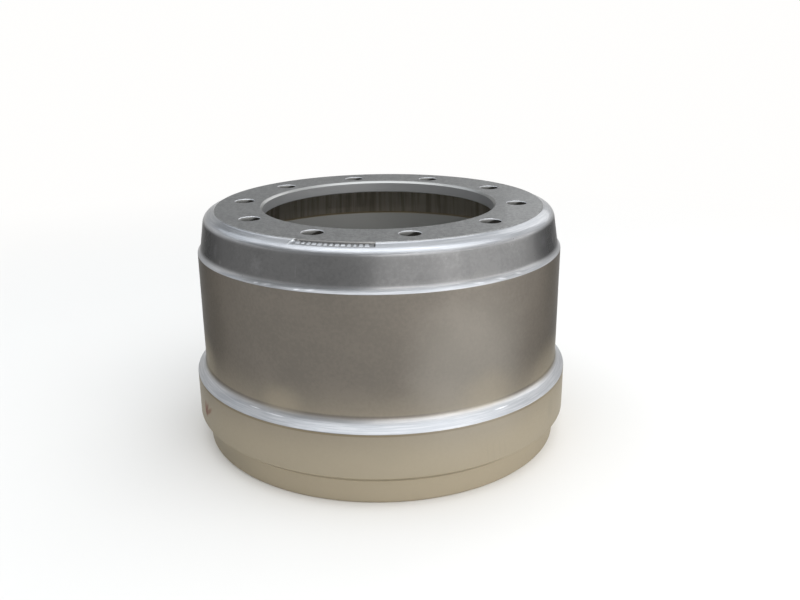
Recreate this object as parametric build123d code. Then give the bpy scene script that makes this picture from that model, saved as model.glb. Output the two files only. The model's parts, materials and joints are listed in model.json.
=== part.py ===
from build123d import *
import os
from math import radians, tan

# Brake drum for a heavy axle: one grey iron casting, turned, drilled and painted.
# Millimetres. The origin is the centre of the open end's rim plane, and +Z runs along
# the drum's axis to the mounting flange. The marking recess faces -Y.
# Radii step outwards from the pilot bore, so a wider bore widens the whole drum, and
# heights add up from the rim, so each length moves all that stands above it.

# Mounting flange
pilot_diameter = 281.0         # centres the drum on the hub
pilot_outer_chamfer = 2.6
pilot_inner_chamfer = 1.0
flange_thickness = 15.0
stud_count = 10
stud_offset = 27.0             # pilot bore's wall out to the stud circle
stud_hole_diameter = 24.0      # for 22 mm wheel studs
stud_hole_chamfer = 0.8
first_stud_angle = 0.0         # degrees from +X
flange_margin = 30.2           # stud circle out to the turned face's edge
face_edge_chamfer = 1.2

# Crown, the drafted cast band under the flange
shoulder_angle = 21.0          # degrees below the turned face
shoulder_rounding = 11.0
crown_overhang = 19.9          # crown's foot beyond the turned face's edge
crown_depth = 44.0             # turned face down to the crown's foot
crown_draft = 9.0              # degrees off the axis
crown_foot_rounding = 14.0

# Barrel
barrel_step = 3.6              # barrel beyond the crown's foot
barrel_step_height = 4.7
barrel_edge_rounding = 1.0
barrel_wall = 16.2             # from the friction surface

# Reinforcing band near the open end
band_rise = 10.8               # beyond the barrel
band_width = 52.0
band_slope = 45.0              # degrees off the axis, ledge above the band
band_foot_rounding = 15.0
band_edge_rounding = 1.2
band_underside_height = 8.8
band_underside_rounding = 2.0

# Lip at the open end
lip_height = 27.0              # rim plane up to the foot of the band's underside
lip_setback = 0.3              # inside the barrel's radius
rim_chamfer = 2.0
entry_relief = 1.5             # entry beyond the friction surface
entry_chamfer = 1.5

# Friction surface and the unmachined wall above it
friction_start = 8.0           # above the rim plane
friction_width = 220.0
skin_height = 43.0             # friction surface's end up to the flange's inner face
skin_step = 2.2                # as-cast wall inside the friction surface
skin_draft = 6.5               # degrees off the axis
skin_corner_rounding = 12.0

# Marking recess in the shoulder
recess_start_angle = 250.0     # degrees from +X
recess_sweep = 25.7
recess_depth = 2.1             # at its back wall, below the turned face
recess_floor_angle = 12.0      # degrees, falling outwards to where it meets the shoulder
recess_end_rounding = 6.0
mark_count = 13
mark_height = 0.8
mark_length = 4.6              # along the radius
mark_setback = 1.4             # clear of the back wall
mark_end_margin = 2.4          # degrees left bare at each end of the recess
wide_mark = 4.4
narrow_mark = 2.6

overcut = 2.0                  # how far cutters stand clear of the faces they open

# Radii, from the pilot bore outwards
pilot_radius = pilot_diameter / 2
stud_circle_radius = pilot_radius + stud_offset
face_radius = stud_circle_radius + flange_margin
crown_radius = face_radius + crown_overhang
barrel_radius = crown_radius + barrel_step
band_radius = barrel_radius + band_rise
lip_radius = barrel_radius - lip_setback
friction_radius = barrel_radius - barrel_wall
entry_radius = friction_radius + entry_relief
skin_radius = friction_radius - skin_step

# Heights, from the rim plane upwards
friction_end = friction_start + friction_width
inner_face = friction_end + skin_height
height = inner_face + flange_thickness
band_bottom = lip_height + band_underside_height
band_top = band_bottom + band_width
crown_foot = height - crown_depth


def turned_profile(corners):
    """Closed face in the XZ plane from corners of (radius, height, rounding)."""
    points = [(radius, level) for radius, level, _ in corners]
    roundings = [rounding for _, _, rounding in corners]
    outline = FilletPolyline(*points, radius=roundings, close=True)
    return Plane.XZ * make_face(outline)


def crown_shoulder():
    """Where the sloping shoulder would meet the drafted side of the crown."""
    start_radius = face_radius + face_edge_chamfer
    fall = tan(radians(shoulder_angle))
    draft = tan(radians(crown_draft))
    radius_at_face = crown_radius - crown_depth * draft
    depth = face_edge_chamfer + fall * (radius_at_face - start_radius)
    depth /= 1 - fall * draft
    return radius_at_face + depth * draft, height - depth


def outer_corners():
    """Outside of the drum, from the pilot bore's mouth down to the rim."""
    shoulder_radius, shoulder_level = crown_shoulder()
    ledge_height = band_rise / tan(radians(band_slope))
    return [
        (pilot_radius + pilot_outer_chamfer, height, 0),
        (face_radius, height, 0),
        (face_radius + face_edge_chamfer, height - face_edge_chamfer, 0),
        (shoulder_radius, shoulder_level, shoulder_rounding),
        (crown_radius, crown_foot, crown_foot_rounding),
        (barrel_radius, crown_foot - barrel_step_height, barrel_edge_rounding),
        (barrel_radius, band_top + ledge_height, band_foot_rounding),
        (band_radius, band_top, band_edge_rounding),
        (band_radius, band_bottom, band_edge_rounding),
        (lip_radius, lip_height, band_underside_rounding),
        (lip_radius, rim_chamfer, 0),
        (lip_radius - rim_chamfer, 0, 0),
    ]


def inner_corners():
    """Inside of the drum, from the rim up to the pilot bore."""
    skin_start = friction_end + skin_step
    skin_top_radius = skin_radius - (inner_face - skin_start) * tan(radians(skin_draft))
    return [
        (entry_radius + entry_chamfer, 0, 0),
        (entry_radius, entry_chamfer, 0),
        (entry_radius, friction_start - entry_relief, 0),
        (friction_radius, friction_start, 0),
        (friction_radius, friction_end, 0),
        (skin_radius, skin_start, 0),
        (skin_top_radius, inner_face, skin_corner_rounding),
        (pilot_radius + pilot_inner_chamfer, inner_face, 0),
        (pilot_radius, inner_face + pilot_inner_chamfer, 0),
        (pilot_radius, height - pilot_outer_chamfer, 0),
    ]


def stud_holes():
    """Drilled holes on the stud circle, chamfered at the outer face."""
    radius = stud_hole_diameter / 2
    drill_length = flange_thickness + overcut
    drill = Pos(0, 0, height - flange_thickness / 2) * Cylinder(radius, drill_length)
    mouth_radius = radius + stud_hole_chamfer
    mouth = Pos(0, 0, height - stud_hole_chamfer / 2) * Cone(radius, mouth_radius, stud_hole_chamfer)
    tool = Pos(stud_circle_radius, 0, 0) * (drill + mouth)
    pitch = 360 / stud_count
    return [Rot(0, 0, first_stud_angle + index * pitch) * tool for index in range(stud_count)]


def marking_recess():
    """Shallow recess that is cut into the shoulder beside the turned face."""
    floor = height - recess_depth
    drop = crown_overhang * tan(radians(recess_floor_angle))
    section = Plane.XZ * Polygon(
        (face_radius, height + overcut),
        (face_radius, floor),
        (crown_radius, floor - drop),
        (crown_radius, height + overcut),
        align=None,
    )
    cutter = revolve(section, Axis.Z, recess_sweep)
    end_edges = cutter.edges().filter_by(Axis.Z).group_by(Axis.Y)
    back_edge = end_edges[0].sort_by(Axis.X)[0]
    cutter = fillet(back_edge, recess_end_rounding)
    return Rot(0, 0, recess_start_angle) * cutter


def marks():
    """Row of plain raised bars on the recess's floor, wide and narrow by turns."""
    middle = mark_setback + mark_length / 2
    level = height - recess_depth - middle * tan(radians(recess_floor_angle))
    row = recess_sweep - 2 * mark_end_margin
    bars = []
    for index in range(mark_count):
        width = wide_mark if index % 3 else narrow_mark
        bar = Rot(0, recess_floor_angle, 0) * Box(mark_length, width, 2 * mark_height)
        angle = recess_start_angle + mark_end_margin + row * index / (mark_count - 1)
        bars.append(Rot(0, 0, angle) * Pos(face_radius + middle, 0, level) * bar)
    return bars


def brake_drum():
    """The whole casting."""
    drum = revolve(turned_profile(outer_corners() + inner_corners()), Axis.Z)
    drum -= stud_holes()
    drum -= marking_recess()
    drum += marks()
    return drum


os.makedirs("parts", exist_ok=True)
export_step(brake_drum(), "parts/brake_drum.step")
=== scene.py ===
import json
from math import ceil, cos, hypot, pi, radians, sin, tan

import bmesh
import bpy
from mathutils import Matrix, Vector, geometry, noise


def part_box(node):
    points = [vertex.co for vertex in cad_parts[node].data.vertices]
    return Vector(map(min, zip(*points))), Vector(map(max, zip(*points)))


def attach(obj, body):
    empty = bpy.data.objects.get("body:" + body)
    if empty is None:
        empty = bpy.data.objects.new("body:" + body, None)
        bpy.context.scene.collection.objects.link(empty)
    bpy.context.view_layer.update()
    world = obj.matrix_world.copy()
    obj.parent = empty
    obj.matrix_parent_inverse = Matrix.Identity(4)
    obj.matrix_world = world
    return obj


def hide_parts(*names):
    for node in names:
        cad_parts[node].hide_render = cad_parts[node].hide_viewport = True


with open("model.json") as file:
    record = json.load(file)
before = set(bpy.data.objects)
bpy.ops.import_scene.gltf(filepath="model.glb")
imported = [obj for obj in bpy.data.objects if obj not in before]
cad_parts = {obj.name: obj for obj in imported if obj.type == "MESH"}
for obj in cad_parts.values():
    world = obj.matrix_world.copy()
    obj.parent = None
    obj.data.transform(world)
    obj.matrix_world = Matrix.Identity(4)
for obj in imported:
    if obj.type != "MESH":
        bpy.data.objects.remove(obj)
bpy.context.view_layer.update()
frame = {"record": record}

# Sizes in metres. Those that the frame states are read from it.

mounts = {mount["name"]: mount for mount in frame["record"]["mounts"]}
_, drum_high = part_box("brake_drum")

HEIGHT = drum_high.z
BAND_RADIUS = drum_high.x
PILOT_RADIUS = mounts["pilot_bore"]["dims"]["r_mm"] / 1000
FRICTION_RADIUS = mounts["friction_bore"]["dims"]["r_mm"] / 1000
FRICTION_WIDTH = mounts["friction_bore"]["dims"]["length_mm"] / 1000
FRICTION_START = mounts["friction_bore"]["pos_m"][2] - FRICTION_WIDTH / 2
FRICTION_END = FRICTION_START + FRICTION_WIDTH
INNER_FACE = mounts["hub_face"]["pos_m"][2]
STUD_CIRCLE_RADIUS = mounts["stud_holes"]["dims"]["pcd_mm"] / 2000
STUD_HOLE_RADIUS = mounts["stud_holes"]["dims"]["hole_r_mm"] / 1000
STUD_COUNT = mounts["stud_holes"]["dims"]["count"]

FACE_RADIUS = 0.1977
FACE_EDGE_CHAMFER = 0.0012
PILOT_OUTER_CHAMFER = 0.0026
PILOT_INNER_CHAMFER = 0.001
STUD_HOLE_CHAMFER = 0.0008

SHOULDER_ANGLE = radians(21)
SHOULDER_ROUNDING = 0.011
CROWN_RADIUS = 0.2176
CROWN_DEPTH = 0.044
CROWN_DRAFT = radians(9)
CROWN_FOOT_ROUNDING = 0.014

BARREL_RADIUS = 0.2212
BARREL_DEPTH = 0.0487
BARREL_EDGE_ROUNDING = 0.001

BAND_TOP = 0.0878
BAND_WIDTH = 0.052
BAND_FOOT_ROUNDING = 0.015
BAND_EDGE_ROUNDING = 0.0012
BAND_UNDERSIDE_HEIGHT = 0.0088
BAND_UNDERSIDE_ROUNDING = 0.002

LIP_RADIUS = 0.2209
RIM_CHAMFER = 0.002
ENTRY_RADIUS = 0.2065
ENTRY_CHAMFER = 0.0015

SKIN_RADIUS = 0.2028
SKIN_DRAFT = radians(6.5)
SKIN_CORNER_ROUNDING = 0.012
SKIN_CORNER_MARGIN = 0.002

RECESS_START = radians(250)
RECESS_SWEEP = radians(25.7)
RECESS_DEPTH = 0.0021
RECESS_FLOOR_ANGLE = radians(12)
RECESS_END_ROUNDING = 0.006
RECESS_REACH = 0.010
RECESS_WALL_SLOPE = 0.0004
RECESS_START_SLOPE = 0.0025
RECESS_END_SLOPE = 0.0005
MARK_COUNT = 13
MARK_HEIGHT = 0.0008
MARK_LENGTH = 0.0046
MARK_SETBACK = 0.0014
MARK_END_MARGIN = radians(2.4)
MARK_EDGE = 0.0010
WIDE_MARK = 0.0044
NARROW_MARK = 0.0026
MARK_WIDTH_STEP = 2.4
MARK_LENGTH_STEP = 3.7
MARK_LENGTH_SPREAD = 0.15
# Painted shade in the recess: along its walls, at its end and between its bars
RECESS_SHADE_REACH = 0.0066
RECESS_SHADE_WALL_GAP = 0.0001
RECESS_SHADE_LINE = 0.0017
RECESS_SHADE_END_LINE = 0.0012
RECESS_SHADE_END_FADE = 0.001
RECESS_SHADE_START = 0.009
RECESS_SHADE_IN_GAPS = 0.5
RECESS_SHADE_OUTWARD_LOSS = 0.6
BURR_HEIGHT = 0.0003
BURR_WIDTH = 0.0014

# Mesh density

ARC_STEP = radians(7)
COARSE_COLUMN = radians(1.0)
FINE_COLUMN = radians(0.14)
FINE_MARGIN = radians(1.0)
HOLE_POINTS = 48
MERGE_DISTANCE = 1e-7
SHARP_ANGLE = radians(28)

# Shares of a hole's radius and of the bore's, inside which the drilled faces stay open

IN_HOLE = 0.98
AT_BORE = 1.0005

# Relief of the cast skin under the paint; the fractal is its falloff, lacunarity and octaves

CAST_WAVE = 0.00014
CAST_WAVE_LENGTH = 0.045
CAST_WAVE_FRACTAL = (1.0, 2.0, 3)
CAST_PITS = 0.00007
CAST_PIT_LENGTH = 0.008

# Camera, as fitted to the photograph: the image is 800 by 600 pixels

IMAGE_WIDTH = 800
FOCAL_PIXELS = 852.0
PRINCIPAL_X = 374.4
CAMERA_X = -0.0066
CAMERA_Y = -1.0293
CAMERA_ABOVE_FACE = 0.2115
CAMERA_DOWN = radians(18.18)
CAMERA_ROLL = radians(-1.03)
CAMERA_AZIMUTH = radians(7)

# Floor

FLOOR_RADIUS = 40.0
FLOOR_SEGMENTS = 128
FLOOR_FADE_START = 0.7
FLOOR_FADE_END = 1.7
FLOOR_COLOUR = (0.77, 0.758, 0.74, 1)

# Surround: pairs are where a change starts and ends, as the height or the side of a direction

HORIZON_COLOUR = (1.0, 0.995, 0.985, 1)
HORIZON_LIGHT = 1.0
HORIZON_FADE = (0.28, 0.55)
UPPER_LIGHT = 0.45
DARK_BAND_FOOT = (0.28, 0.40)
DARK_BAND_TOP = (0.75, 0.60)
DARK_BAND_SIDE = (0.15, -0.25)
LEFT_SHADE = 0.85
ZENITH_COLOUR = (0.93, 0.965, 1.0, 1)
ZENITH_LIGHT = 0.80
ZENITH_LEAN = 0.3
ZENITH_POWER = 2.0

# Soft lamps: name, place, point they face, width and height, radiance, colour

LAMPS = [
    ("top_light", (0.6, -0.6, 2.3), (0.6, -0.6, 0.0), (4.6, 2.0), 1.15, (0.94, 0.97, 1.0)),
    ("side_light", (1.6, -0.35, 0.30), (0, 0, 0.20), (2.4, 0.6), 2.0, (1.0, 0.99, 0.97)),
    ("back_light", (0.9, 2.2, 1.42), (0, 0, 0.3), (1.6, 1.35), 1.5, (0.97, 0.985, 1.0)),
    ("fill_light", (-1.7, 0.75, 1.7), (0, 0, 0.3), (1.7, 1.1), 0.9, (0.86, 0.93, 1.0)),
    ("key_light", (1.1, -2.0, 0.75), (0, 0, 0.25), (2.2, 1.3), 2.2, (1.0, 0.99, 0.97)),
]


# The casting's outline

def crown_shoulder():
    """Where the sloping shoulder would meet the drafted side of the crown."""
    start_radius = FACE_RADIUS + FACE_EDGE_CHAMFER
    fall = tan(SHOULDER_ANGLE)
    draft = tan(CROWN_DRAFT)
    radius_at_face = CROWN_RADIUS - CROWN_DEPTH * draft
    depth = FACE_EDGE_CHAMFER + fall * (radius_at_face - start_radius)
    depth /= 1 - fall * draft
    return radius_at_face + depth * draft, HEIGHT - depth


def outer_corners():
    """(radius, level, rounding, cast relief and row spacing after it), face edge to rim."""
    shoulder_radius, shoulder_level = crown_shoulder()
    band_bottom = BAND_TOP - BAND_WIDTH
    ledge = BAND_RADIUS - BARREL_RADIUS
    return [
        (FACE_RADIUS, HEIGHT, 0, 0, 0.0003),
        (FACE_RADIUS + FACE_EDGE_CHAMFER, HEIGHT - FACE_EDGE_CHAMFER, 0, 1, 0.0006),
        (shoulder_radius, shoulder_level, SHOULDER_ROUNDING, 1, 0.004),
        (CROWN_RADIUS, HEIGHT - CROWN_DEPTH, CROWN_FOOT_ROUNDING, 1, 0.002),
        (BARREL_RADIUS, HEIGHT - BARREL_DEPTH, BARREL_EDGE_ROUNDING, 1, 0.0042),
        (BARREL_RADIUS, BAND_TOP + ledge, BAND_FOOT_ROUNDING, 1, 0.0025),
        (BAND_RADIUS, BAND_TOP, BAND_EDGE_ROUNDING, 0.4, 0.0045),
        (BAND_RADIUS, band_bottom, BAND_EDGE_ROUNDING, 0.4, 0.004),
        (LIP_RADIUS, band_bottom - BAND_UNDERSIDE_HEIGHT, BAND_UNDERSIDE_ROUNDING, 0.4, 0.006),
        (LIP_RADIUS, RIM_CHAMFER, 0, 0, 0.01),
        (LIP_RADIUS - RIM_CHAMFER, 0, 0, 0, 0.02),
    ]


def inner_corners():
    """The same, from the rim up to the start of the flange's inner face."""
    skin_start = FRICTION_END + FRICTION_RADIUS - SKIN_RADIUS
    skin_top_radius = SKIN_RADIUS - (INNER_FACE - skin_start) * tan(SKIN_DRAFT)
    entry_end = FRICTION_START - (ENTRY_RADIUS - FRICTION_RADIUS)
    flat_end = skin_top_radius - SKIN_CORNER_ROUNDING
    return [
        (ENTRY_RADIUS + ENTRY_CHAMFER, 0, 0, 0, 0.01),
        (ENTRY_RADIUS, ENTRY_CHAMFER, 0, 0, 0.01),
        (ENTRY_RADIUS, entry_end, 0, 0, 0.01),
        (FRICTION_RADIUS, FRICTION_START, 0, 0, 0.03),
        (FRICTION_RADIUS, FRICTION_END, 0, 0, 0.01),
        (SKIN_RADIUS, skin_start, 0, 1, 0.005),
        (skin_top_radius, INNER_FACE, SKIN_CORNER_ROUNDING, 0, 0.02),
        (flat_end - SKIN_CORNER_MARGIN, INNER_FACE, 0, 0, 0.02),
    ]


def bore_corners():
    """The pilot bore's wall, from the inner face to the outer face."""
    return [
        (PILOT_RADIUS + PILOT_INNER_CHAMFER, INNER_FACE, 0, 0, 0.01),
        (PILOT_RADIUS, INNER_FACE + PILOT_INNER_CHAMFER, 0, 0, 0.01),
        (PILOT_RADIUS, HEIGHT - PILOT_OUTER_CHAMFER, 0, 0, 0.01),
        (PILOT_RADIUS + PILOT_OUTER_CHAMFER, HEIGHT, 0, 0, 0.01),
    ]


def corner_arc(before, corner, after, rounding):
    """Points of the arc that rounds one corner, or the corner itself."""
    if not rounding:
        return [corner]
    back = (before - corner).normalized()
    on = (after - corner).normalized()
    half = back.angle(on) / 2
    middle = corner + (back + on).normalized() * (rounding / sin(half))
    start = corner + back * (rounding / tan(half)) - middle
    turn = pi - 2 * half
    side = 1 if back.cross(on) < 0 else -1
    count = max(2, ceil(turn / ARC_STEP))
    turns = [side * turn * step / count for step in range(count + 1)]
    return [middle + Matrix.Rotation(angle, 2) @ start for angle in turns]


def rows_of(corners):
    """Rows (radius, level, relief) of an open outline, arcs and straight stretches together."""
    points = [Vector(corner[:2]) for corner in corners]
    rows = []
    for index, (_, _, rounding, relief, spacing) in enumerate(corners):
        inner = 0 < index < len(corners) - 1
        if inner:
            arc = corner_arc(points[index - 1], points[index], points[index + 1], rounding)
        else:
            arc = [points[index]]
        if rows:
            last = Vector(rows[-1][:2])
            step_relief, step_spacing = corners[index - 1][3:]
            count = max(1, ceil((arc[0] - last).length / step_spacing))
            for step in range(1, count):
                between = last.lerp(arc[0], step / count)
                rows.append((between.x, between.y, step_relief))
            relief_here = min(relief, step_relief)
        else:
            relief_here = 0
        rows += [(point.x, point.y, relief_here) for point in arc]
    return rows


def column_angles():
    """Angles of the lathe's columns, close together at the marking recess."""
    fine_start = RECESS_START - FINE_MARGIN
    fine_sweep = RECESS_SWEEP + 2 * FINE_MARGIN
    coarse_start = fine_start + fine_sweep
    coarse_sweep = 2 * pi - fine_sweep
    fine = ceil(fine_sweep / FINE_COLUMN)
    coarse = ceil(coarse_sweep / COARSE_COLUMN)
    near_recess = [fine_start + fine_sweep * index / fine for index in range(fine)]
    rest = [coarse_start + coarse_sweep * index / coarse for index in range(coarse)]
    return near_recess + rest


# The marking recess: a shallow pocket in the shoulder, with plain raised bars on its floor

def smooth_step(value, width):
    """0 below zero, 1 above width, smooth between."""
    share = min(max(value / width, 0), 1)
    return share * share * (3 - 2 * share)


def mark_relief(reach, angle):
    """Height of the raised bars above the recess's floor."""
    row = RECESS_SWEEP - 2 * MARK_END_MARGIN
    pitch = row / (MARK_COUNT - 1)
    index = round((angle - RECESS_START - MARK_END_MARGIN) / pitch)
    if not 0 <= index < MARK_COUNT:
        return 0
    width = NARROW_MARK + (WIDE_MARK - NARROW_MARK) * abs(sin(MARK_WIDTH_STEP * index + 1))
    length = MARK_LENGTH * (1 - MARK_LENGTH_SPREAD * (1 - sin(MARK_LENGTH_STEP * index)))
    off_side = abs(angle - RECESS_START - MARK_END_MARGIN - index * pitch) * FACE_RADIUS
    off_end = abs(reach - MARK_SETBACK - MARK_LENGTH / 2)
    side = smooth_step(width / 2 + MARK_EDGE / 2 - off_side, MARK_EDGE)
    end = smooth_step(length / 2 + MARK_EDGE / 2 - off_end, MARK_EDGE)
    return MARK_HEIGHT * side * end


def recess_place(radius, angle):
    """Reach from the back wall, distance along it, what is left to its end, and depth inside."""
    reach = radius - FACE_RADIUS
    along = (angle - RECESS_START) * FACE_RADIUS
    left = RECESS_SWEEP * FACE_RADIUS - along
    corner_off = max(RECESS_END_ROUNDING - along, 0)
    wall_off = max(RECESS_END_ROUNDING - reach, 0)
    inside = reach
    if corner_off:
        inside = min(reach, RECESS_END_ROUNDING - hypot(corner_off, wall_off))
    return reach, along, left, inside


def burr_share(radius, angle):
    """1 along the crest of the burr round the recess's rounded end, 0 off it."""
    reach, along, _, inside = recess_place(radius, angle)
    if not 0 < reach < RECESS_REACH or along > RECESS_END_ROUNDING:
        return 0
    return max(1 - abs(2 * inside / BURR_WIDTH + 1), 0)


def recessed_level(radius, level, angle):
    """Level of the shoulder at this place, lowered where the recess is cut."""
    reach, along, left, inside = recess_place(radius, angle)
    if along <= -BURR_WIDTH or left <= 0 or reach <= 0 or reach > RECESS_REACH:
        return level
    floor = HEIGHT - RECESS_DEPTH - reach * tan(RECESS_FLOOR_ANGLE)
    floor += mark_relief(reach, angle)
    share = smooth_step(inside, RECESS_WALL_SLOPE) * smooth_step(along, RECESS_START_SLOPE)
    share *= smooth_step(left, RECESS_END_SLOPE)
    return level + (min(floor, level) - level) * share + BURR_HEIGHT * burr_share(radius, angle)


# The mesh

def cast_shift(place):
    """How far the cast skin lies inside its nominal surface."""
    wave = noise.fractal(place / CAST_WAVE_LENGTH, *CAST_WAVE_FRACTAL)
    pits = noise.noise(place / CAST_PIT_LENGTH)
    return CAST_WAVE * (0.5 + 0.5 * wave) + CAST_PITS * (0.5 + 0.5 * pits)


def outline_normals(rows):
    """Outward normal of each row in the (radius, level) plane; the casting lies on the right."""
    normals = []
    for index in range(len(rows)):
        before = Vector(rows[max(index - 1, 0)][:2])
        after = Vector(rows[min(index + 1, len(rows) - 1)][:2])
        along = (after - before).normalized()
        normals.append(Vector((-along.y, along.x)))
    return normals


def recess_painted_light(radius, angle):
    """Painted shade, 1 along the recess's walls, less between its bars; -1: painted highlight on the
    burr.
    """
    reach, along, left, _ = recess_place(radius, angle)
    if along <= 0 or left <= 0 or not RECESS_SHADE_WALL_GAP < reach < RECESS_SHADE_REACH:
        return -burr_share(radius, angle)
    by_wall = 1 - smooth_step(reach - RECESS_SHADE_LINE / 2, RECESS_SHADE_LINE)
    by_end = 1 - smooth_step(left - RECESS_SHADE_END_LINE, RECESS_SHADE_END_FADE)
    between = RECESS_SHADE_IN_GAPS * (1 - mark_relief(reach, angle) / MARK_HEIGHT)
    between *= 1 - RECESS_SHADE_OUTWARD_LOSS * reach / RECESS_SHADE_REACH
    fade = smooth_step(along - RECESS_SHADE_START / 2, RECESS_SHADE_START / 2)
    return max(by_wall, by_end, between) * fade - burr_share(radius, angle)


def lathe(mesh, rows, angles):
    """Turns the rows round Z and returns the grid of vertices, row by row."""
    wear = mesh.verts.layers.float.get("wear") or mesh.verts.layers.float.new("wear")
    grid = []
    for (radius, level, relief), normal in zip(rows, outline_normals(rows)):
        ring = []
        for angle in angles:
            height = recessed_level(radius, level, angle)
            place = Vector((radius * cos(angle), radius * sin(angle), height))
            if relief:
                shift = -relief * cast_shift(place)
                out = Vector((normal.x * cos(angle), normal.x * sin(angle), normal.y))
                place += out * shift
            vert = mesh.verts.new(place)
            vert[wear] = recess_painted_light(radius, angle)
            ring.append(vert)
        grid.append(ring)
    for upper, lower in zip(grid, grid[1:]):
        for index in range(len(angles)):
            after = (index + 1) % len(angles)
            mesh.faces.new((upper[index], upper[after], lower[after], lower[index]))
    return grid


def hole_centres():
    """Centres of the stud holes; the first is on +X."""
    radius = STUD_CIRCLE_RADIUS
    pitch = 2 * pi / STUD_COUNT
    angles = [index * pitch for index in range(STUD_COUNT)]
    return [Vector((radius * cos(angle), radius * sin(angle))) for angle in angles]


def hole_rings(mesh, levels):
    """Wall of each stud hole from (radius, level) pairs; returns its rings of vertices."""
    holes = []
    for centre in hole_centres():
        rings = []
        for radius, level in levels:
            ring = []
            for index in range(HOLE_POINTS):
                angle = 2 * pi * index / HOLE_POINTS
                ring.append(mesh.verts.new((
                    centre.x + radius * cos(angle), centre.y + radius * sin(angle), level,
                )))
            rings.append(ring)
        for upper, lower in zip(rings, rings[1:]):
            for index in range(HOLE_POINTS):
                after = (index + 1) % HOLE_POINTS
                mesh.faces.new((upper[index], upper[after], lower[after], lower[index]))
        holes.append(rings)
    return holes


def drilled_face(mesh, outer_ring, inner_ring, hole_loops, hole_radius):
    """Flat ring between two circles of vertices, open at the holes."""
    loops = [outer_ring, inner_ring] + hole_loops
    verts = [vert for loop in loops for vert in loop]
    edges = []
    start = 0
    for loop in loops:
        edges += [(start + index, start + (index + 1) % len(loop)) for index in range(len(loop))]
        start += len(loop)
    flat = [vert.co.xy for vert in verts]
    _, _, faces, origins, _, _ = geometry.delaunay_2d_cdt(flat, edges, [], 0, MERGE_DISTANCE)
    inner_limit = min(vert.co.xy.length for vert in inner_ring)
    outer_limit = max(vert.co.xy.length for vert in outer_ring)
    for face in faces:
        corners = [verts[origins[index][0]] for index in face]
        middle = sum((corner.co.xy for corner in corners), Vector((0, 0))) / 3
        in_hole = any((middle - centre).length < hole_radius * IN_HOLE for centre in hole_centres())
        in_bore = all(corner.co.xy.length < inner_limit * AT_BORE for corner in corners)
        if middle.length > outer_limit or in_bore or in_hole:
            continue
        mesh.faces.new(corners)


def build_casting():
    """The whole drum as one closed mesh."""
    mesh = bmesh.new()
    angles = column_angles()
    body = lathe(mesh, rows_of(outer_corners() + inner_corners()), angles)
    bore = lathe(mesh, rows_of(bore_corners()), angles)
    mouth_radius = STUD_HOLE_RADIUS + STUD_HOLE_CHAMFER
    holes = hole_rings(mesh, [
        (mouth_radius, HEIGHT),
        (STUD_HOLE_RADIUS, HEIGHT - STUD_HOLE_CHAMFER),
        (STUD_HOLE_RADIUS, INNER_FACE),
    ])
    drilled_face(mesh, body[0], bore[-1], [rings[0] for rings in holes], mouth_radius)
    drilled_face(mesh, body[-1], bore[0], [rings[-1] for rings in holes], STUD_HOLE_RADIUS)
    bmesh.ops.recalc_face_normals(mesh, faces=mesh.faces)
    data = bpy.data.meshes.new("drum_casting")
    mesh.to_mesh(data)
    mesh.free()
    data.shade_smooth()
    data.set_sharp_from_angle(angle=SHARP_ANGLE)
    casting = bpy.data.objects.new("drum_casting", data)
    bpy.context.scene.collection.objects.link(casting)
    return casting


# Materials

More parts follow.
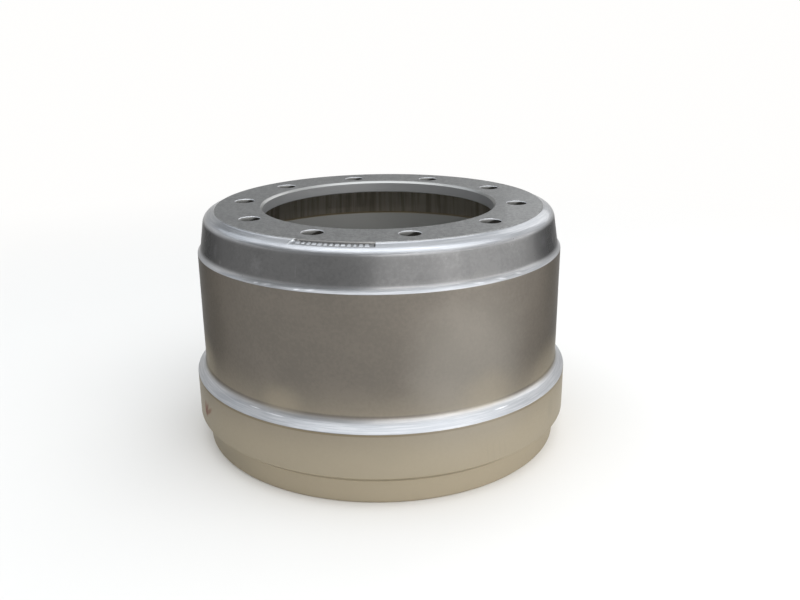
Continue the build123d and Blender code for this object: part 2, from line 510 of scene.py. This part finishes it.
class Graph:
    """Adds and joins the nodes of one node tree."""

    def __init__(self, tree):
        self.tree = tree
        tree.nodes.clear()

    def add(self, kind, **settings):
        node = self.tree.nodes.new(kind)
        for name, value in settings.items():
            setattr(node, name, value)
        return node

    def join(self, source, target):
        self.tree.links.new(source, target)

    def put(self, target, value):
        """Sets a socket to a value, or joins an output to it."""
        if isinstance(value, bpy.types.NodeSocket):
            self.join(value, target)
        else:
            target.default_value = value

    def math(self, operation, first, second=0.0, clamp=False):
        node = self.add("ShaderNodeMath", operation=operation, use_clamp=clamp)
        self.put(node.inputs[0], first)
        self.put(node.inputs[1], second)
        return node.outputs[0]

    def plus(self, first, second):
        return self.math("ADD", first, second)

    def times(self, first, second):
        return self.math("MULTIPLY", first, second)

    def vector(self, operation, first, second=(0, 0, 0)):
        node = self.add("ShaderNodeVectorMath", operation=operation)
        self.put(node.inputs[0], first)
        self.put(node.inputs[1], second)
        return node.outputs["Value" if operation == "LENGTH" else "Vector"]

    def split(self, source):
        """X, Y and Z of a vector."""
        node = self.add("ShaderNodeSeparateXYZ")
        self.join(source, node.inputs[0])
        return node.outputs

    def span(self, value, low, high, to_low=0.0, to_high=1.0):
        """Maps a value smoothly from one range to another."""
        node = self.add("ShaderNodeMapRange", interpolation_type="SMOOTHSTEP")
        names = ("Value", "From Min", "From Max", "To Min", "To Max")
        for name, given in zip(names, (value, low, high, to_low, to_high)):
            self.put(node.inputs[name], given)
        return node.outputs["Result"]

    def near(self, value, edge, change, to_low=0.0, to_high=1.0):
        """The same for a range that is given as two distances from an edge."""
        start, end = change
        return self.span(value, edge + start, edge + end, to_low, to_high)

    def blend(self, share, first, second):
        """Colour between two colours."""
        node = self.add("ShaderNodeMix", data_type="RGBA")
        colours = [socket for socket in node.inputs if socket.type == "RGBA"]
        self.put(node.inputs["Factor"], share)
        self.put(colours[0], first)
        self.put(colours[1], second)
        return next(socket for socket in node.outputs if socket.type == "RGBA")

    def noise(self, place, scale, roughness=0.6):
        node = self.add("ShaderNodeTexNoise")
        self.join(place, node.inputs["Vector"])
        node.inputs["Scale"].default_value = scale
        node.inputs["Detail"].default_value = NOISE_DETAIL
        node.inputs["Roughness"].default_value = roughness
        return node.outputs["Fac"]

    def drawn(self, heading, level, radius, round_scale, along_scale):
        """Noise with one scale round the axis, per radian, and another along the outline."""
        turn = self.split(heading)
        place = self.add("ShaderNodeCombineXYZ")
        self.put(place.inputs["X"], self.times(turn["X"], round_scale))
        self.put(place.inputs["Y"], self.times(turn["Y"], round_scale))
        along = self.math("SUBTRACT", level, radius)
        self.put(place.inputs["Z"], self.times(along, along_scale))
        return self.noise(place.outputs[0], 1.0)

    def stroke(self, place, ragged, angle, level, lean, half_width, half_height, share):
        """Soft oval mark on the outside, 0 beyond its edge; a ragged noise breaks its outline."""
        turn = radians(angle)
        centre = (BAND_RADIUS * cos(turn), BAND_RADIUS * sin(turn), level)
        off = self.vector("SUBTRACT", place, centre)
        spun = self.add("ShaderNodeVectorRotate", rotation_type="Z_AXIS")
        self.put(spun.inputs["Vector"], off)
        spun.inputs["Angle"].default_value = -turn
        leant = self.add("ShaderNodeVectorRotate", rotation_type="X_AXIS")
        self.put(leant.inputs["Vector"], spun.outputs[0])
        leant.inputs["Angle"].default_value = radians(lean)
        scale = (1 / STROKE_DEPTH, 1 / half_width, 1 / half_height)
        scaled = self.vector("MULTIPLY", leant.outputs[0], scale)
        reach = self.plus(self.vector("LENGTH", scaled), ragged)
        return self.span(reach, *STROKE_FADE, 0.0, share)


# Colours

SILVER = (0.114, 0.114, 0.115, 1)
SILVER_DARK = (0.098, 0.098, 0.099, 1)
# Painted highlight: upward-facing outside surfaces and the stud holes' chamfers are painted far
# paler than the silver, with darker streaks
SILVER_PAINTED_HIGHLIGHT = (0.51, 0.515, 0.53, 1)
SILVER_HIGHLIGHT_STREAK = (0.42, 0.43, 0.45, 1)
FILM = (0.164, 0.147, 0.127, 1)
FILM_DARK = (0.147, 0.133, 0.115, 1)
PAINTED_SHEEN = (0.345, 0.325, 0.290, 1)
# Low upright surfaces: partly dust, partly a painted reflection of the floor, paler still at the rim
# to lift the shade there
DUST_AND_REFLECTION = (0.355, 0.309, 0.229, 1)
RIM_DUST_AND_REFLECTION = (0.385, 0.332, 0.242, 1)
UNDERSIDE_PAINTED_LIGHT = (0.40, 0.345, 0.25, 1)
EDGE_LINE = (0.19, 0.155, 0.10, 1)
RUST = (0.17, 0.06, 0.03, 1)
SMUDGE_AND_SHADE = (0.27, 0.245, 0.19, 1)
SCUFF_AND_REFLECTION = (0.20, 0.20, 0.205, 1)
PAINTED_GLINT = (0.90, 0.91, 0.93, 1)
TURNED_FACE = (0.38, 0.38, 0.375, 1)
TURNED_FACE_DARK = (0.25, 0.25, 0.25, 1)
TURNED_BORE = (0.42, 0.42, 0.408, 1)
PILOT_WALL = (0.26, 0.262, 0.265, 1)
PILOT_EDGE = (0.38, 0.38, 0.37, 1)
HOLE_BARE_AND_SHADE = (0.05, 0.047, 0.042, 1)
SKIN = (0.28, 0.257, 0.215, 1)
SKIN_DIRT = (0.18, 0.157, 0.125, 1)
RING_STAIN = (0.30, 0.24, 0.15, 1)
# Painted shade in the marking recess, and a painted highlight on its burr's crest
RECESS_SHADE = (0.36, 0.36, 0.355, 1)
RECESS_SHADE_DEEP = (0.16, 0.16, 0.16, 1)
BURR_PAINTED_HIGHLIGHT = (0.62, 0.62, 0.61, 1)

# Marks on the outside: angle in degrees, level, lean in degrees, half width, half height, share

RUST_STROKES = [
    (211.7, 0.0610, 10, 0.0045, 0.0120, 0.85),
    (213.1, 0.0605, 33, 0.0040, 0.0135, 0.85),
    (214.9, 0.0595, 56, 0.0040, 0.0180, 0.7),
    (212.1, 0.0545, 30, 0.0075, 0.0070, 0.95),
]
# Painted reflections: pale warm patches on the barrel and band, in the colour of the dust
PAINTED_REFLECTION_PATCHES = [
    (247.5, 0.1080, 0, 0.0360, 0.0260, 0.36),
    (308.0, 0.1130, 0, 0.0460, 0.0360, 0.30),
    (346.0, 0.0980, 0, 0.1500, 0.0520, 0.42),
    (207.0, 0.1150, 0, 0.0420, 0.0420, 0.60),
]
# Painted sheen: a broad paler patch on the right of the barrel in place of the paint's broad
# highlight
PAINTED_SHEEN_PATCHES = [
    (302.0, 0.1530, 0, 0.1500, 0.1050, 0.35),
]
SMUDGES_AND_PAINTED_SHADE = [
    (277.5, 0.0640, 25, 0.0260, 0.0200, 0.12),
    (306.4, 0.0480, -8, 0.0016, 0.0160, 0.22),
    (308.4, 0.0480, -8, 0.0018, 0.0170, 0.18),
    (310.5, 0.0490, -8, 0.0018, 0.0170, 0.22),
    (312.4, 0.0480, -8, 0.0016, 0.0150, 0.18),
    (335.0, 0.0640, 0, 0.0110, 0.0200, 0.40),
    # This wide patch darkens the left of the lip: painted shade
    (222.0, 0.0130, 0, 0.1300, 0.0170, 0.45),
]
# Pale patches on the crown: partly scuffs, partly painted reflections, such as those at 219° and
# 344°
SCUFFS_AND_REFLECTIONS = [
    (219.0, 0.2590, 0, 0.0080, 0.0140, 0.50),
    (223.0, 0.2480, 20, 0.0050, 0.0050, 0.60),
    (240.0, 0.2560, 0, 0.0130, 0.0150, 0.35),
    (253.3, 0.2560, 0, 0.0012, 0.0110, 0.50),
    (335.0, 0.2620, 0, 0.0120, 0.0110, 0.40),
    (344.0, 0.2600, 0, 0.0060, 0.0150, 0.80),
]
# Painted glints: short pale streaks on the ledges that stand for highlights
PAINTED_GLINTS = [
    (240.6, 0.2392, -8, 0.0055, 0.0011, 1.0),
    (244.5, 0.2398, -8, 0.0110, 0.0016, 0.7),
    (254.0, 0.2388, -5, 0.0050, 0.0010, 0.9),
    (258.0, 0.2396, -5, 0.0090, 0.0012, 0.5),
    (304.5, 0.2398, 6, 0.0100, 0.0009, 0.7),
    (312.0, 0.2398, 10, 0.0100, 0.0011, 0.8),
    (319.0, 0.2402, 10, 0.0090, 0.0010, 0.8),
    (238.5, 0.0955, 0, 0.0120, 0.0007, 0.9),
    (246.0, 0.0945, 0, 0.0160, 0.0006, 0.7),
    (312.0, 0.0940, 0, 0.0140, 0.0008, 0.8),
]
STROKE_DEPTH = 0.03
STROKE_FADE = (1.25, 0.5)
SOFT_RAGGEDNESS = 0.25
FINE_RAGGEDNESS = 0.5

# Changes from one kind of surface to the next, by how far its normal points up

STEEP = (0.45, 0.15)
UPRIGHT = (0.14, 0.04)
UPWARD = (0.13, 0.66)
DOWNWARD = (-0.04, -0.35)
OFF_WALL = (0.4, 0.6)
OFF_FLAT = (0.95, 0.85)

# The same, as distances from an edge

FACE_CHANGE = (-0.0012, -0.0004)
INNER_FACE_CHANGE = (-0.0005, 0.0005)
ENTRY_CHANGE = (0.003, 0.002)
FACE_EDGE_CHANGE = (-0.0004, -0.0014)
PILOT_EDGE_CHANGE = (0.005, 0.007)
FRICTION_END_CHANGE = (0.0005, 0.0015)
BARREL_TOP_CHANGE = (0.002, -0.001)

# Noises, and the part of their range over which a colour changes

NOISE_DETAIL = 3.0
LINE_SCALES = (15, 900)
HIGHLIGHT_STREAK_SCALES = (5, 480)
RUN_SCALES = (34, 7)
GRAIN_SCALE = 1100
MOTTLE_SCALE = 260
CLOUD_SCALE = 22
CLOUD_ROUGHNESS = 0.5
FLAKE_RANGE = (0.38, 0.62)
HIGHLIGHT_STREAK_RANGE = (0.42, 0.62)
RUN_RANGE = (0.38, 0.70)

# Dust with painted reflection, stains, and the stud holes' bare depths with painted shade

DUST_AND_REFLECTION_LEVELS = (0.15, 0.045)
DUST_AND_REFLECTION_SHARE = 0.85
RIM_DUST_AND_REFLECTION_LEVELS = (0.040, 0.022)
EDGE_LINE_DEPTH = 0.0016
EDGE_LINE_FADE = (0.0018, 0.0006)
EDGE_LINE_SHARE = 0.8
RING_RISE = 0.001
RING_FADE = (0.0024, 0.0008)
RING_SHARE = 0.8
HOLE_SHADE_LEAN = 0.0055
HOLE_BARE_AND_SHADE_DEPTHS = (-0.0014, -0.0045)
HOLE_SHADE_DEPTHS = (-0.0012, -0.0035)
HOLE_SHADE_SHARE = 0.55

# Gloss and bump

ROUGHNESS = 0.24
MOTTLE_ROUGHNESS = 0.12
BARE_ROUGHNESS = 0.15
FILM_ROUGHNESS = 0.10
DUST_ROUGHNESS = 0.10
METALLIC = 0.92
METALLIC_LOSS = 0.45
COAT = 0.1
LEDGE_COAT = 0.4
COAT_ROUGHNESS = 0.08
SPECULAR_TINT = (0.2, 0.2, 0.2, 1)
GRAIN_BUMP = 0.8
MOTTLE_BUMP = 0.8
LINE_FACING = (0.1, 0.7)
LINE_BUMP = (0.5, 3.0)
BUMP_STRENGTH = 0.5
BUMP_DISTANCE = 0.00012


class Surfaces:
    """Place, noises and kinds of surface on the casting; each kind is an output from 0 to 1."""

    def __init__(self, graph):
        self.place = graph.add("ShaderNodeTexCoord").outputs["Object"]
        parts = graph.split(self.place)
        flat = graph.add("ShaderNodeCombineXYZ")
        graph.join(parts["X"], flat.inputs["X"])
        graph.join(parts["Y"], flat.inputs["Y"])
        self.level = parts["Z"]
        self.radius = graph.vector("LENGTH", flat.outputs[0])
        facing = graph.split(graph.add("ShaderNodeNewGeometry").outputs["Normal"])
        self.facing_side = facing["X"]
        self.facing_up = facing["Z"]
        self.make_noises(graph, graph.vector("NORMALIZE", flat.outputs[0]))
        self.make_kinds(graph)

    def make_noises(self, graph, heading):
        self.lines = graph.drawn(heading, self.level, self.radius, *LINE_SCALES)
        self.highlight_streaks = graph.drawn(heading, self.level, self.radius, *HIGHLIGHT_STREAK_SCALES)
        self.runs = graph.drawn(heading, self.level, self.radius, *RUN_SCALES)
        self.grain = graph.noise(self.place, GRAIN_SCALE)
        self.mottle = graph.noise(self.place, MOTTLE_SCALE)
        self.clouds = graph.noise(self.place, CLOUD_SCALE, CLOUD_ROUGHNESS)

    def make_kinds(self, graph):
        steep = graph.span(self.facing_up, *STEEP)
        upward = graph.span(self.facing_up, *UPWARD)
        downward = graph.span(self.facing_up, *DOWNWARD)
        self.upright = graph.span(self.facing_up, *UPRIGHT)

        self.on_face = graph.near(self.level, HEIGHT, FACE_CHANGE)
        in_flange = graph.near(self.level, INNER_FACE, INNER_FACE_CHANGE)
        within_entry = graph.near(self.radius, ENTRY_RADIUS, ENTRY_CHANGE)
        within_face = graph.near(self.radius, FACE_RADIUS, FACE_EDGE_CHANGE)
        self.cavity = graph.times(within_entry, graph.math("SUBTRACT", 1.0, in_flange))
        holes = graph.times(within_face, in_flange)
        inside = graph.math("MAXIMUM", self.cavity, holes)

        self.beyond_pilot = graph.near(self.radius, PILOT_RADIUS, PILOT_EDGE_CHANGE)
        self.stud_holes = graph.times(holes, self.beyond_pilot)
        chamfers = graph.times(holes, graph.span(self.facing_up, *OFF_WALL))
        self.chamfers = graph.times(chamfers, graph.span(self.facing_up, *OFF_FLAT))
        above_friction = graph.near(self.level, FRICTION_END, FRICTION_END_CHANGE)
        self.skin = graph.times(self.cavity, above_friction)
        self.bores = graph.math("SUBTRACT", graph.times(inside, steep), self.skin, clamp=True)
        pilot_side = graph.math("SUBTRACT", self.bores, self.beyond_pilot, clamp=True)
        self.pilot_wall = graph.times(pilot_side, in_flange)

        covered = graph.math("MAXIMUM", inside, self.on_face)
        outside = graph.math("SUBTRACT", 1.0, covered, clamp=True)
        # Upward-facing outside surfaces, which take the painted highlight and a stronger coat
        self.ledges = graph.times(upward, outside)
        self.undersides = graph.times(downward, outside)
        self.on_barrel = graph.near(self.level, HEIGHT - BARREL_DEPTH, BARREL_TOP_CHANGE)
        low = graph.span(self.level, *DUST_AND_REFLECTION_LEVELS)
        self.dust_and_reflection_areas = graph.times(graph.times(low, self.upright), DUST_AND_REFLECTION_SHARE)


def outer_paint(graph, at):
    """Silver paint with its film, dust and marks, a painted highlight on what faces up, and painted
    reflections and shade.
    """
    patchy = graph.span(graph.times(graph.plus(at.clouds, at.mottle), 0.5), *FLAKE_RANGE)
    colour = graph.blend(patchy, SILVER, SILVER_DARK)
    colour = graph.blend(at.on_barrel, colour, graph.blend(patchy, FILM, FILM_DARK))
    # Low upright surfaces: dust together with a painted reflection of the floor
    dust = graph.blend(graph.span(at.level, *RIM_DUST_AND_REFLECTION_LEVELS), DUST_AND_REFLECTION, RIM_DUST_AND_REFLECTION)
    colour = graph.blend(at.dust_and_reflection_areas, colour, dust)
    off_line = graph.math("ABSOLUTE", graph.math("SUBTRACT", at.level, BAND_TOP - EDGE_LINE_DEPTH))
    line = graph.times(at.upright, graph.span(off_line, *EDGE_LINE_FADE, 0.0, EDGE_LINE_SHARE))
    colour = graph.blend(line, colour, EDGE_LINE)
    soft = graph.times(at.clouds, SOFT_RAGGEDNESS)
    fine = graph.times(at.mottle, FINE_RAGGEDNESS)
    for marks, ragged, shade in (
        (PAINTED_SHEEN_PATCHES, soft, PAINTED_SHEEN),
        (PAINTED_REFLECTION_PATCHES, soft, DUST_AND_REFLECTION),
        (SMUDGES_AND_PAINTED_SHADE, fine, SMUDGE_AND_SHADE),
        (RUST_STROKES, fine, RUST),
        (SCUFFS_AND_REFLECTIONS, fine, SCUFF_AND_REFLECTION),
    ):
        for mark in marks:
            colour = graph.blend(graph.stroke(at.place, ragged, *mark), colour, shade)
    # Painted highlight on the ledges and other upward-facing surfaces, streaked round the axis
    painted_highlight = graph.blend(graph.span(at.highlight_streaks, *HIGHLIGHT_STREAK_RANGE), SILVER_HIGHLIGHT_STREAK, SILVER_PAINTED_HIGHLIGHT)
    # Painted glints on top of the painted highlight
    for mark in PAINTED_GLINTS:
        painted_highlight = graph.blend(graph.stroke(at.place, fine, *mark), painted_highlight, PAINTED_GLINT)
    colour = graph.blend(at.ledges, colour, painted_highlight)
    # Undersides take their own paler colour, set to lift their shade: painted light
    return graph.blend(at.undersides, colour, UNDERSIDE_PAINTED_LIGHT)


def turned_finish(graph, at, colour):
    """Adds the turned face, the bores, the holes with their painted shade and chamfer highlights,
    and the cavity's unmachined wall.
    """
    colour = graph.blend(at.bores, colour, TURNED_BORE)
    colour = graph.blend(at.pilot_wall, colour, PILOT_WALL)
    # Stud holes darken with depth, partly bare metal below the paint and partly painted shade; walls
    # facing left darken sooner: painted shade
    leant_level = graph.plus(at.level, graph.times(at.facing_side, HOLE_SHADE_LEAN))
    bare_and_shaded = graph.times(at.stud_holes, graph.near(leant_level, HEIGHT, HOLE_BARE_AND_SHADE_DEPTHS))
    shade = graph.near(at.level, HEIGHT, HOLE_SHADE_DEPTHS, 0.0, HOLE_SHADE_SHARE)
    dark = graph.math("MAXIMUM", bare_and_shaded, graph.times(at.stud_holes, shade))
    colour = graph.blend(dark, colour, HOLE_BARE_AND_SHADE)
    flake = graph.span(graph.times(graph.plus(at.mottle, at.grain), 0.5), *FLAKE_RANGE)
    colour = graph.blend(at.on_face, colour, graph.blend(flake, TURNED_FACE_DARK, TURNED_FACE))
    # The stud holes' chamfers take the painted highlight; the pilot bore's chamfer takes its own
    # paler tone
    chamfer = graph.blend(at.beyond_pilot, PILOT_EDGE, SILVER_PAINTED_HIGHLIGHT)
    colour = graph.blend(at.chamfers, colour, chamfer)
    dirty = graph.blend(graph.span(at.runs, *RUN_RANGE), SKIN, SKIN_DIRT)
    colour = graph.blend(at.skin, colour, dirty)
    off_ring = graph.math("ABSOLUTE", graph.math("SUBTRACT", at.level, FRICTION_END + RING_RISE))
    ring = graph.times(at.cavity, graph.span(off_ring, *RING_FADE, 0.0, RING_SHARE))
    return graph.blend(ring, colour, RING_STAIN)


def recess_finish(graph, colour):
    """Adds painted shade in the marking recess and a painted highlight on the crest of its burr."""
    wear = graph.add("ShaderNodeAttribute", attribute_name="wear").outputs["Fac"]
    colour = graph.blend(graph.span(wear, 0.0, RECESS_SHADE_IN_GAPS), colour, RECESS_SHADE)
    colour = graph.blend(graph.span(wear, RECESS_SHADE_IN_GAPS, 1.0), colour, RECESS_SHADE_DEEP)
    return graph.blend(graph.span(wear, 0.0, -1.0), colour, BURR_PAINTED_HIGHLIGHT)


def paint_bump(graph, at):
    """Normal with the paint's grain, and with turning lines that are deepest on flat faces."""
    lines = graph.times(at.lines, graph.span(at.facing_up, *LINE_FACING, *LINE_BUMP))
    height = graph.plus(graph.times(at.grain, GRAIN_BUMP), lines)
    height = graph.plus(height, graph.times(at.mottle, MOTTLE_BUMP))
    bump = graph.add("ShaderNodeBump")
    bump.inputs["Strength"].default_value = BUMP_STRENGTH
    bump.inputs["Distance"].default_value = BUMP_DISTANCE
    graph.join(height, bump.inputs["Height"])
    return bump.outputs["Normal"]


def painted_casting():
    """Silver paint over a turned casting: satin metal flake with a thin gloss."""
    material = bpy.data.materials.new("painted_casting")
    material.use_nodes = True
    graph = Graph(material.node_tree)
    at = Surfaces(graph)
    colour = turned_finish(graph, at, outer_paint(graph, at))
    colour = recess_finish(graph, colour)

    bare = graph.math("MAXIMUM", at.on_face, at.bores)
    roughness = graph.plus(ROUGHNESS, graph.times(at.mottle, MOTTLE_ROUGHNESS))
    roughness = graph.plus(roughness, graph.times(bare, BARE_ROUGHNESS))
    roughness = graph.plus(roughness, graph.times(at.on_barrel, FILM_ROUGHNESS))
    roughness = graph.plus(roughness, graph.times(at.dust_and_reflection_areas, DUST_ROUGHNESS))
    dulled = graph.math("MAXIMUM", at.bores, at.dust_and_reflection_areas)
    metal = graph.math("SUBTRACT", METALLIC, graph.times(dulled, METALLIC_LOSS))
    coat = graph.plus(COAT, graph.times(at.ledges, LEDGE_COAT))

    shader = graph.add("ShaderNodeBsdfPrincipled")
    graph.join(colour, shader.inputs["Base Color"])
    graph.join(metal, shader.inputs["Metallic"])
    graph.join(roughness, shader.inputs["Roughness"])
    graph.join(coat, shader.inputs["Coat Weight"])
    shader.inputs["Coat Roughness"].default_value = COAT_ROUGHNESS
    shader.inputs["Specular Tint"].default_value = SPECULAR_TINT
    graph.join(paint_bump(graph, at), shader.inputs["Normal"])
    output = graph.add("ShaderNodeOutputMaterial")
    graph.join(shader.outputs[0], output.inputs["Surface"])
    return material


# Camera, stage and light

def make_camera():
    """The photograph's camera, turned so that the marking recess shows left of the middle."""
    data = bpy.data.cameras.new("camera")
    data.sensor_width = 36
    data.lens = FOCAL_PIXELS * data.sensor_width / IMAGE_WIDTH
    data.shift_x = (IMAGE_WIDTH / 2 - PRINCIPAL_X) / IMAGE_WIDTH
    camera = bpy.data.objects.new("camera", data)
    turn = Matrix.Rotation(CAMERA_AZIMUTH, 4, "Z")
    place = Matrix.Translation((CAMERA_X, CAMERA_Y, HEIGHT + CAMERA_ABOVE_FACE))
    tilt = Matrix.Rotation(pi / 2 - CAMERA_DOWN, 4, "X")
    roll = Matrix.Rotation(CAMERA_ROLL, 4, "Z")
    camera.matrix_world = turn @ place @ tilt @ roll
    bpy.context.scene.collection.objects.link(camera)
    bpy.context.scene.camera = camera


def stage_material():
    """Pale matt floor that shows as an even white further out, also in the metal."""
    material = bpy.data.materials.new("stage_pale")
    material.use_nodes = True
    graph = Graph(material.node_tree)
    paper = graph.add("ShaderNodeBsdfDiffuse")
    paper.inputs["Color"].default_value = FLOOR_COLOUR
    white = graph.add("ShaderNodeEmission")
    white.inputs["Color"].default_value = HORIZON_COLOUR
    white.inputs["Strength"].default_value = HORIZON_LIGHT
    rays = graph.add("ShaderNodeLightPath")
    seen = graph.math("ADD", rays.outputs["Is Camera Ray"], rays.outputs["Is Glossy Ray"])
    seen = graph.math("ADD", seen, rays.outputs["Is Transmission Ray"], clamp=True)
    place = graph.add("ShaderNodeTexCoord").outputs["Object"]
    far = graph.span(graph.vector("LENGTH", place), FLOOR_FADE_START, FLOOR_FADE_END)
    mix = graph.add("ShaderNodeMixShader")
    graph.join(graph.math("MULTIPLY", seen, far), mix.inputs[0])
    graph.join(paper.outputs[0], mix.inputs[1])
    graph.join(white.outputs[0], mix.inputs[2])
    output = graph.add("ShaderNodeOutputMaterial")
    graph.join(mix.outputs[0], output.inputs["Surface"])
    return material


def make_stage():
    """A wide pale floor."""
    mesh = bmesh.new()
    bmesh.ops.create_circle(mesh, cap_ends=True, segments=FLOOR_SEGMENTS, radius=FLOOR_RADIUS)
    data = bpy.data.meshes.new("stage_floor")
    mesh.to_mesh(data)
    mesh.free()
    floor = bpy.data.objects.new("stage_floor", data)
    bpy.context.scene.collection.objects.link(floor)
    data.materials.append(stage_material())


def softbox(name, place, target, size, radiance, colour):
    """Rectangular soft lamp of a given brightness, aimed at a point."""
    data = bpy.data.lights.new(name, "AREA")
    data.shape = "RECTANGLE"
    data.size, data.size_y = size
    data.energy = radiance * pi * size[0] * size[1]
    data.color = colour
    lamp = bpy.data.objects.new(name, data)
    aim = (Vector(target) - Vector(place)).to_track_quat("-Z", "Y")
    lamp.matrix_world = Matrix.Translation(place) @ aim.to_matrix().to_4x4()
    bpy.context.scene.collection.objects.link(lamp)


def make_surround():
    """Pale surround: even up to mid height, greyer above and on the left, brighter overhead."""
    world = bpy.data.worlds.new("surround")
    bpy.context.scene.world = world
    world.use_nodes = True
    graph = Graph(world.node_tree)
    across, _, up = graph.split(graph.add("ShaderNodeTexCoord").outputs["Generated"])
    band = graph.times(graph.span(up, *DARK_BAND_FOOT), graph.span(up, *DARK_BAND_TOP))
    shade = graph.times(band, graph.span(across, *DARK_BAND_SIDE, 0.0, LEFT_SHADE))
    horizon = graph.span(up, *HORIZON_FADE, HORIZON_LIGHT, UPPER_LIGHT)
    horizon = graph.times(horizon, graph.math("SUBTRACT", 1.0, shade))
    rise = graph.math("MAXIMUM", up, 0.0)
    lean = graph.plus(1.0, graph.times(across, ZENITH_LEAN))
    zenith = graph.times(graph.math("POWER", rise, ZENITH_POWER), lean)
    zenith = graph.times(zenith, ZENITH_LIGHT)
    background = graph.add("ShaderNodeBackground")
    graph.join(graph.blend(rise, HORIZON_COLOUR, ZENITH_COLOUR), background.inputs["Color"])
    graph.join(graph.plus(horizon, zenith), background.inputs["Strength"])
    output = graph.add("ShaderNodeOutputWorld")
    graph.join(background.outputs[0], output.inputs["Surface"])


make_camera()
make_stage()
make_surround()
for lamp in LAMPS:
    softbox(*lamp)
casting = build_casting()
casting.data.materials.append(painted_casting())
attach(casting, "root")
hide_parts("brake_drum")

view = bpy.context.scene.view_settings
view.view_transform = "Standard"
